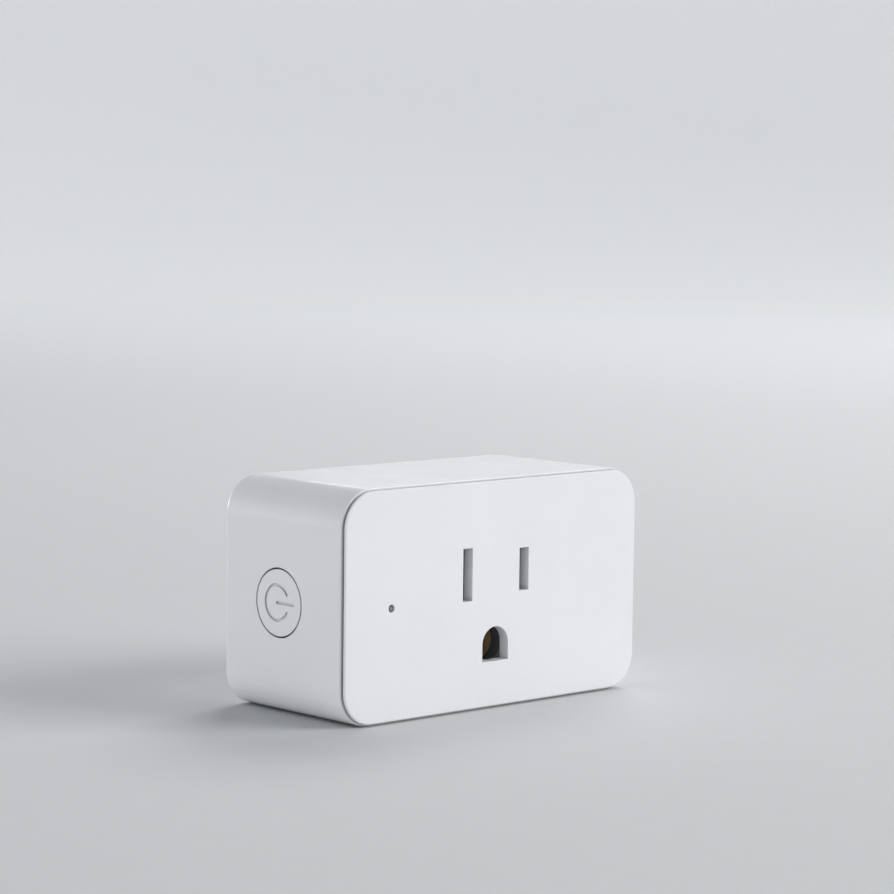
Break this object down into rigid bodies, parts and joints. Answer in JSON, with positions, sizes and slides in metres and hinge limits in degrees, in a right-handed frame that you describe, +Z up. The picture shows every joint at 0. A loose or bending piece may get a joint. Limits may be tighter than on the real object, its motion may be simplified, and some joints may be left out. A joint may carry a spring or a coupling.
{
  "type": "smart plug",
  "caption": "Compact box-shaped smart plug: earthed outlet in front, two blades and an earth pin behind, round side button and a small status light.",
  "frame": {"origin": "centre of the rear face, which lies on the wall", "axes": "+X to the right as the outlet is faced, +Z up, +Y into the wall along the blades; the front faces -Y"},
  "size_m": [0.066, 0.0502, 0.038],
  "materials": {
    "cover_plastic": "fine matte texture",
    "sleeve_plastic": "satin",
    "button_plastic": "satin",
    "clear_plastic": "clear, polished",
    "holder_plastic": "moulded, glass filled",
    "carrier_plastic": "moulded, flame retardant",
    "plated_brass": "nickel plated, satin",
    "contact_brass": "stamped, bright",
    "board_laminate": "solder mask over copper tracks",
    "module_laminate": "solder mask",
    "screw_steel": "zinc plated",
    "shield_steel": "tin plated",
    "soft_iron": "nickel plated, dull",
    "contact_silver": "silver alloy",
    "tinned_wire": "tinned",
    "black_plastic": "moulded",
    "relay_blue": "moulded",
    "bobbin_plastic": "moulded",
    "enamel_wire": "enamelled copper, layer wound",
    "led_plastic": "white body, clear lens",
    "fish_paper": "pressed insulating paper",
    "can_sleeve": "shrink sleeve over an aluminium can",
    "film_box": "potted box",
    "varistor_coat": "dipped epoxy",
    "fuse_ceramic": "ceramic tube, plated caps",
    "ferrite": "sintered, matte",
    "chip_epoxy": "moulded epoxy, tinned legs"
  },
  "bodies": {
    "plug": {"housing": "sleeve_plastic", "front_cover": "cover_plastic", "light_pipe": "clear_plastic", "prong_holder": "holder_plastic", "hot_blade": "plated_brass", "neutral_blade": "plated_brass", "earth_pin": "plated_brass", "contact_carrier": "carrier_plastic", "hot_contact": "contact_brass", "neutral_contact": "contact_brass", "earth_contact": "contact_brass", "power_board": "board_laminate", "control_board": "board_laminate", "board_screws": "screw_steel", "wifi_board": "module_laminate", "wifi_shield": "shield_steel", "status_led": "led_plastic", "insulation_sheet": "fish_paper", "switch_base": "black_plastic", "switch_cover": "shield_steel", "switch_dome": "screw_steel", "switch_terminals": "tinned_wire", "relay_base": "black_plastic", "relay_case": "relay_blue", "relay_bobbin": "bobbin_plastic", "relay_coil": "enamel_wire", "relay_core": "soft_iron", "relay_yoke": "soft_iron", "relay_hinge_spring": "contact_brass", "relay_fixed_contact": "contact_brass", "relay_backstop": "contact_brass", "relay_coil_pins": "tinned_wire", "bulk_capacitors": "can_sleeve", "film_capacitor": "film_box", "output_capacitor": "can_sleeve", "varistor": "varistor_coat", "fuse": "fuse_ceramic", "inductor_core": "ferrite", "inductor_winding": "enamel_wire", "bridge_rectifier": "chip_epoxy", "converter_chip": "chip_epoxy", "relay_diode": "chip_epoxy"},
    "button": {"power_button": "button_plastic"},
    "plunger": {"switch_plunger": "black_plastic"},
    "armature": {"relay_armature": "soft_iron", "relay_contact_leaf": "contact_brass", "relay_contact_rivet": "contact_silver"}
  },
  "joints": [
    {"name": "button_press", "type": "slide", "parent": "plug", "child": "button", "axis": [1, 0, 0], "range_m": [0, 0.0003], "stiffness_N_per_m": 3000, "springref_m": -0.0002},
    {"name": "plunger_press", "type": "slide", "parent": "plug", "child": "plunger", "axis": [1, 0, 0], "range_m": [0, 0.0003], "deforming": ["switch_dome"]},
    {"name": "armature_pull", "type": "hinge", "parent": "plug", "child": "armature", "pos_m": [0.01905, -0.01712, -0.0023], "axis": [-1, 0, 0], "range_deg": [0, 4], "stiffness_Nm_per_rad": 0.02, "springref_deg": -8.59}
  ],
  "couplings": [
    {"joint": "plunger_press", "follows": "button_press", "ratio": 1}
  ]
}
